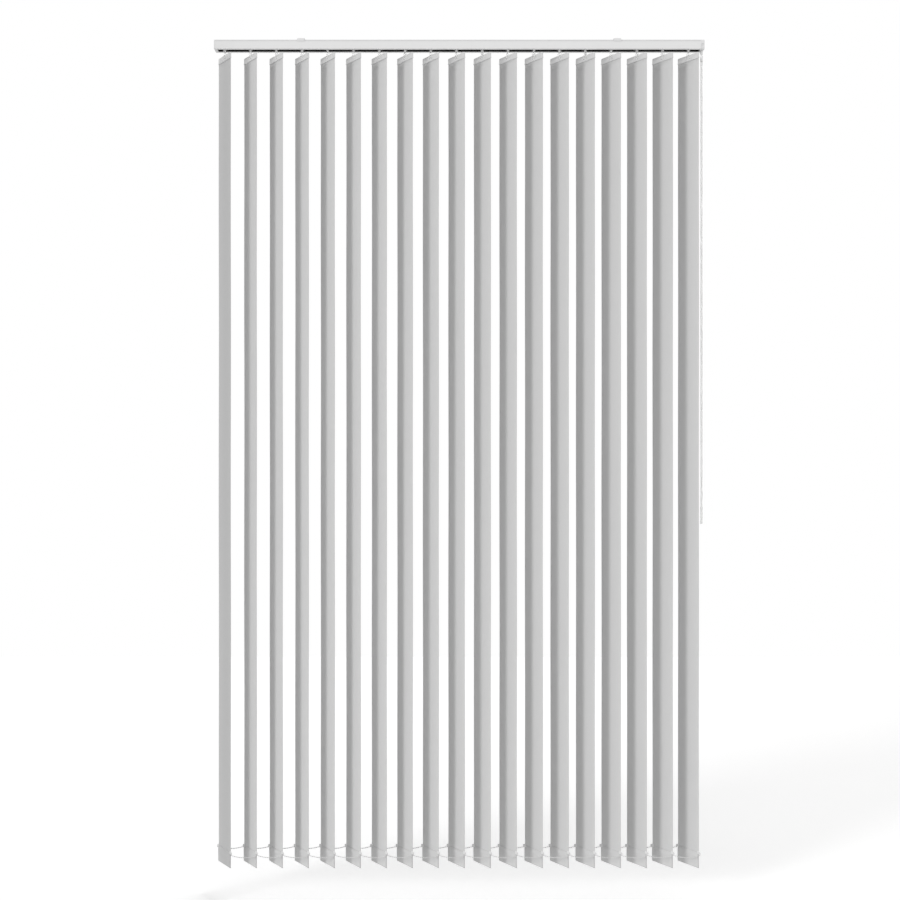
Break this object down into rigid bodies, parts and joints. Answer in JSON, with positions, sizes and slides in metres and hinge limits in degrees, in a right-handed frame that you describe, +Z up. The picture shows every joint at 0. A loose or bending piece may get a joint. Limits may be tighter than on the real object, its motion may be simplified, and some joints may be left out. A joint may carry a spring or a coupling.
{
  "type": "vertical blind",
  "caption": "Ceiling-hung vertical blind: fabric slats on wheeled carriers turn together by a tilt wand and draw aside along a slotted rail, their feet linked by bead chains.",
  "frame": {"origin": "on the ceiling plane, midway between the two bracket screw holes", "axes": "+X along the rail towards the wand, -Y into the room, +Z up"},
  "size_m": [1.4894, 0.0892, 2.5122],
  "materials": {
    "rail_paint": "satin white coat",
    "cap_plastic": "satin white",
    "bracket_steel": "white coat",
    "carrier_plastic": "black moulded",
    "rod_aluminium": "extruded",
    "slat_fabric": "stiffened plain weave",
    "hanger_plastic": "moulded white",
    "chain_plastic": "glossy white beads",
    "wand_plastic": "glossy white",
    "screw_steel": "zinc plated"
  },
  "bodies": {
    "headrail": {"headrail": "rail_paint", "end_cap_left": "cap_plastic", "end_cap_right": "cap_plastic", "end_cap_screws": "screw_steel", "anchor_clip": "carrier_plastic", "bracket_left": "bracket_steel", "bracket_right": "bracket_steel", "carrier_01": "carrier_plastic"},
    "tilt_rod": {"tilt_rod": "rod_aluminium", "rod_gear": "carrier_plastic"},
    "carrier_02": {"carrier_02": "carrier_plastic"},
    "carrier_03": {"carrier_03": "carrier_plastic"},
    "carrier_04": {"carrier_04": "carrier_plastic"},
    "carrier_05": {"carrier_05": "carrier_plastic"},
    "carrier_06": {"carrier_06": "carrier_plastic"},
    "carrier_07": {"carrier_07": "carrier_plastic"},
    "carrier_08": {"carrier_08": "carrier_plastic"},
    "carrier_09": {"carrier_09": "carrier_plastic"},
    "carrier_10": {"carrier_10": "carrier_plastic"},
    "carrier_11": {"carrier_11": "carrier_plastic"},
    "carrier_12": {"carrier_12": "carrier_plastic"},
    "carrier_13": {"carrier_13": "carrier_plastic"},
    "carrier_14": {"carrier_14": "carrier_plastic"},
    "carrier_15": {"carrier_15": "carrier_plastic"},
    "carrier_16": {"carrier_16": "carrier_plastic"},
    "carrier_17": {"carrier_17": "carrier_plastic"},
    "carrier_18": {"carrier_18": "carrier_plastic"},
    "carrier_19": {"carrier_19": "carrier_plastic"},
    "slat_01": {"slat_01": "slat_fabric"},
    "slat_02": {"slat_02": "slat_fabric"},
    "slat_03": {"slat_03": "slat_fabric"},
    "slat_04": {"slat_04": "slat_fabric"},
    "slat_05": {"slat_05": "slat_fabric"},
    "slat_06": {"slat_06": "slat_fabric"},
    "slat_07": {"slat_07": "slat_fabric"},
    "slat_08": {"slat_08": "slat_fabric"},
    "slat_09": {"slat_09": "slat_fabric"},
    "slat_10": {"slat_10": "slat_fabric"},
    "slat_11": {"slat_11": "slat_fabric"},
    "slat_12": {"slat_12": "slat_fabric"},
    "slat_13": {"slat_13": "slat_fabric"},
    "slat_14": {"slat_14": "slat_fabric"},
    "slat_15": {"slat_15": "slat_fabric"},
    "slat_16": {"slat_16": "slat_fabric"},
    "slat_17": {"slat_17": "slat_fabric"},
    "slat_18": {"slat_18": "slat_fabric"},
    "slat_19": {"slat_19": "slat_fabric"},
    "front_chain": {"front_chain": "chain_plastic"},
    "back_chain": {"back_chain": "chain_plastic"},
    "wand_stub": {"wand_stub": "wand_plastic", "wand_pin": "screw_steel"},
    "wand": {"wand_ferrule": "wand_plastic", "wand_rod": "wand_plastic", "wand_grip": "wand_plastic"}
  },
  "joints": [
    {"name": "carrier_02_draw", "type": "slide", "parent": "headrail", "child": "carrier_02", "axis": [1, 0, 0], "range_m": [-0.06151, 0]},
    {"name": "carrier_03_draw", "type": "slide", "parent": "headrail", "child": "carrier_03", "axis": [1, 0, 0], "range_m": [-0.12301, 0]},
    {"name": "carrier_04_draw", "type": "slide", "parent": "headrail", "child": "carrier_04", "axis": [1, 0, 0], "range_m": [-0.18451, 0]},
    {"name": "carrier_05_draw", "type": "slide", "parent": "headrail", "child": "carrier_05", "axis": [1, 0, 0], "range_m": [-0.24601, 0]},
    {"name": "carrier_06_draw", "type": "slide", "parent": "headrail", "child": "carrier_06", "axis": [1, 0, 0], "range_m": [-0.30751, 0]},
    {"name": "carrier_07_draw", "type": "slide", "parent": "headrail", "child": "carrier_07", "axis": [1, 0, 0], "range_m": [-0.36901, 0]},
    {"name": "carrier_08_draw", "type": "slide", "parent": "headrail", "child": "carrier_08", "axis": [1, 0, 0], "range_m": [-0.43051, 0]},
    {"name": "carrier_09_draw", "type": "slide", "parent": "headrail", "child": "carrier_09", "axis": [1, 0, 0], "range_m": [-0.49201, 0]},
    {"name": "carrier_10_draw", "type": "slide", "parent": "headrail", "child": "carrier_10", "axis": [1, 0, 0], "range_m": [-0.55351, 0]},
    {"name": "carrier_11_draw", "type": "slide", "parent": "headrail", "child": "carrier_11", "axis": [1, 0, 0], "range_m": [-0.61501, 0]},
    {"name": "carrier_12_draw", "type": "slide", "parent": "headrail", "child": "carrier_12", "axis": [1, 0, 0], "range_m": [-0.67651, 0]},
    {"name": "carrier_13_draw", "type": "slide", "parent": "headrail", "child": "carrier_13", "axis": [1, 0, 0], "range_m": [-0.73801, 0]},
    {"name": "carrier_14_draw", "type": "slide", "parent": "headrail", "child": "carrier_14", "axis": [1, 0, 0], "range_m": [-0.79951, 0]},
    {"name": "carrier_15_draw", "type": "slide", "parent": "headrail", "child": "carrier_15", "axis": [1, 0, 0], "range_m": [-0.86101, 0]},
    {"name": "carrier_16_draw", "type": "slide", "parent": "headrail", "child": "carrier_16", "axis": [1, 0, 0], "range_m": [-0.92251, 0]},
    {"name": "carrier_17_draw", "type": "slide", "parent": "headrail", "child": "carrier_17", "axis": [1, 0, 0], "range_m": [-0.98401, 0]},
    {"name": "carrier_18_draw", "type": "slide", "parent": "headrail", "child": "carrier_18", "axis": [1, 0, 0], "range_m": [-1.04551, 0]},
    {"name": "carrier_19_draw", "type": "slide", "parent": "headrail", "child": "carrier_19", "axis": [1, 0, 0], "range_m": [-1.107, 0], "deforming": ["front_chain", "back_chain"]},
    {"name": "slat_01_tilt", "type": "hinge", "parent": "headrail", "child": "slat_01", "pos_m": [-0.7145, 0, -0.0213], "axis": [0, 0, -1], "range_deg": [-45.71, 114.29]},
    {"name": "slat_02_tilt", "type": "hinge", "parent": "carrier_02", "child": "slat_02", "pos_m": [-0.636, 0, -0.0213], "axis": [0, 0, -1], "range_deg": [-45.71, 114.29]},
    {"name": "slat_03_tilt", "type": "hinge", "parent": "carrier_03", "child": "slat_03", "pos_m": [-0.5575, 0, -0.0213], "axis": [0, 0, -1], "range_deg": [-45.71, 114.29]},
    {"name": "slat_04_tilt", "type": "hinge", "parent": "carrier_04", "child": "slat_04", "pos_m": [-0.479, 0, -0.0213], "axis": [0, 0, -1], "range_deg": [-45.71, 114.29]},
    {"name": "slat_05_tilt", "type": "hinge", "parent": "carrier_05", "child": "slat_05", "pos_m": [-0.4005, 0, -0.0213], "axis": [0, 0, -1], "range_deg": [-45.71, 114.29]},
    {"name": "slat_06_tilt", "type": "hinge", "parent": "carrier_06", "child": "slat_06", "pos_m": [-0.322, 0, -0.0213], "axis": [0, 0, -1], "range_deg": [-45.71, 114.29]},
    {"name": "slat_07_tilt", "type": "hinge", "parent": "carrier_07", "child": "slat_07", "pos_m": [-0.2435, 0, -0.0213], "axis": [0, 0, -1], "range_deg": [-45.71, 114.29]},
    {"name": "slat_08_tilt", "type": "hinge", "parent": "carrier_08", "child": "slat_08", "pos_m": [-0.165, 0, -0.0213], "axis": [0, 0, -1], "range_deg": [-45.71, 114.29]},
    {"name": "slat_09_tilt", "type": "hinge", "parent": "carrier_09", "child": "slat_09", "pos_m": [-0.0865, 0, -0.0213], "axis": [0, 0, -1], "range_deg": [-45.71, 114.29]},
    {"name": "slat_10_tilt", "type": "hinge", "parent": "carrier_10", "child": "slat_10", "pos_m": [-0.008, 0, -0.0213], "axis": [0, 0, -1], "range_deg": [-45.71, 114.29]},
    {"name": "slat_11_tilt", "type": "hinge", "parent": "carrier_11", "child": "slat_11", "pos_m": [0.0705, 0, -0.0213], "axis": [0, 0, -1], "range_deg": [-45.71, 114.29]},
    {"name": "slat_12_tilt", "type": "hinge", "parent": "carrier_12", "child": "slat_12", "pos_m": [0.149, 0, -0.0213], "axis": [0, 0, -1], "range_deg": [-45.71, 114.29]},
    {"name": "slat_13_tilt", "type": "hinge", "parent": "carrier_13", "child": "slat_13", "pos_m": [0.2275, 0, -0.0213], "axis": [0, 0, -1], "range_deg": [-45.71, 114.29]},
    {"name": "slat_14_tilt", "type": "hinge", "parent": "carrier_14", "child": "slat_14", "pos_m": [0.306, 0, -0.0213], "axis": [0, 0, -1], "range_deg": [-45.71, 114.29]},
    {"name": "slat_15_tilt", "type": "hinge", "parent": "carrier_15", "child": "slat_15", "pos_m": [0.3845, 0, -0.0213], "axis": [0, 0, -1], "range_deg": [-45.71, 114.29]},
    {"name": "slat_16_tilt", "type": "hinge", "parent": "carrier_16", "child": "slat_16", "pos_m": [0.463, 0, -0.0213], "axis": [0, 0, -1], "range_deg": [-45.71, 114.29]},
    {"name": "slat_17_tilt", "type": "hinge", "parent": "carrier_17", "child": "slat_17", "pos_m": [0.5415, 0, -0.0213], "axis": [0, 0, -1], "range_deg": [-45.71, 114.29]},
    {"name": "slat_18_tilt", "type": "hinge", "parent": "carrier_18", "child": "slat_18", "pos_m": [0.62, 0, -0.0213], "axis": [0, 0, -1], "range_deg": [-45.71, 114.29]},
    {"name": "slat_19_tilt", "type": "hinge", "parent": "carrier_19", "child": "slat_19", "pos_m": [0.6985, 0, -0.0213], "axis": [0, 0, -1], "range_deg": [-45.71, 114.29]},
    {"name": "tilt_rod_turn", "type": "hinge", "parent": "headrail", "child": "tilt_rod", "pos_m": [0, 0.0085, -0.0213], "axis": [1, 0, 0], "range_deg": [-411.44, 1028.58]},
    {"name": "wand_turn", "type": "hinge", "parent": "headrail", "child": "wand_stub", "pos_m": [0.7385, 0, -0.042], "axis": [0, 0, 1], "range_deg": [-720, 1800]},
    {"name": "wand_swing", "type": "hinge", "parent": "wand_stub", "child": "wand", "pos_m": [0.7385, 0, -0.042], "axis": [0, -1, 0], "range_deg": [0, 35]},
    {"name": "front_chain_keep_level", "type": "hinge", "parent": "slat_01", "child": "front_chain", "pos_m": [-0.68748, -0.04256, -2.471], "axis": [0, 0, -1], "range_deg": [-114.29, 45.72]},
    {"name": "back_chain_keep_level", "type": "hinge", "parent": "slat_01", "child": "back_chain", "pos_m": [-0.74327, 0.0414, -2.471], "axis": [0, 0, -1], "range_deg": [-114.29, 45.72]}
  ],
  "couplings": [
    {"joint": "carrier_02_draw", "follows": "carrier_19_draw", "ratio": 0.055556},
    {"joint": "carrier_03_draw", "follows": "carrier_19_draw", "ratio": 0.11111},
    {"joint": "carrier_04_draw", "follows": "carrier_19_draw", "ratio": 0.16667},
    {"joint": "carrier_05_draw", "follows": "carrier_19_draw", "ratio": 0.22222},
    {"joint": "carrier_06_draw", "follows": "carrier_19_draw", "ratio": 0.27778},
    {"joint": "carrier_07_draw", "follows": "carrier_19_draw", "ratio": 0.33333},
    {"joint": "carrier_08_draw", "follows": "carrier_19_draw", "ratio": 0.38889},
    {"joint": "carrier_09_draw", "follows": "carrier_19_draw", "ratio": 0.44444},
    {"joint": "carrier_10_draw", "follows": "carrier_19_draw", "ratio": 0.5},
    {"joint": "carrier_11_draw", "follows": "carrier_19_draw", "ratio": 0.55556},
    {"joint": "carrier_12_draw", "follows": "carrier_19_draw", "ratio": 0.61111},
    {"joint": "carrier_13_draw", "follows": "carrier_19_draw", "ratio": 0.66667},
    {"joint": "carrier_14_draw", "follows": "carrier_19_draw", "ratio": 0.72222},
    {"joint": "carrier_15_draw", "follows": "carrier_19_draw", "ratio": 0.77778},
    {"joint": "carrier_16_draw", "follows": "carrier_19_draw", "ratio": 0.83333},
    {"joint": "carrier_17_draw", "follows": "carrier_19_draw", "ratio": 0.88889},
    {"joint": "carrier_18_draw", "follows": "carrier_19_draw", "ratio": 0.94444},
    {"joint": "slat_02_tilt", "follows": "slat_01_tilt", "ratio": 1},
    {"joint": "slat_03_tilt", "follows": "slat_01_tilt", "ratio": 1},
    {"joint": "slat_04_tilt", "follows": "slat_01_tilt", "ratio": 1},
    {"joint": "slat_05_tilt", "follows": "slat_01_tilt", "ratio": 1},
    {"joint": "slat_06_tilt", "follows": "slat_01_tilt", "ratio": 1},
    {"joint": "slat_07_tilt", "follows": "slat_01_tilt", "ratio": 1},
    {"joint": "slat_08_tilt", "follows": "slat_01_tilt", "ratio": 1},
    {"joint": "slat_09_tilt", "follows": "slat_01_tilt", "ratio": 1},
    {"joint": "slat_10_tilt", "follows": "slat_01_tilt", "ratio": 1},
    {"joint": "slat_11_tilt", "follows": "slat_01_tilt", "ratio": 1},
    {"joint": "slat_12_tilt", "follows": "slat_01_tilt", "ratio": 1},
    {"joint": "slat_13_tilt", "follows": "slat_01_tilt", "ratio": 1},
    {"joint": "slat_14_tilt", "follows": "slat_01_tilt", "ratio": 1},
    {"joint": "slat_15_tilt", "follows": "slat_01_tilt", "ratio": 1},
    {"joint": "slat_16_tilt", "follows": "slat_01_tilt", "ratio": 1},
    {"joint": "slat_17_tilt", "follows": "slat_01_tilt", "ratio": 1},
    {"joint": "slat_18_tilt", "follows": "slat_01_tilt", "ratio": 1},
    {"joint": "slat_19_tilt", "follows": "slat_01_tilt", "ratio": 1},
    {"joint": "tilt_rod_turn", "follows": "slat_01_tilt", "ratio": 9},
    {"joint": "wand_turn", "follows": "slat_01_tilt", "ratio": 15.75},
    {"joint": "front_chain_keep_level", "follows": "slat_01_tilt", "ratio": -1},
    {"joint": "back_chain_keep_level", "follows": "slat_01_tilt", "ratio": -1}
  ]
}
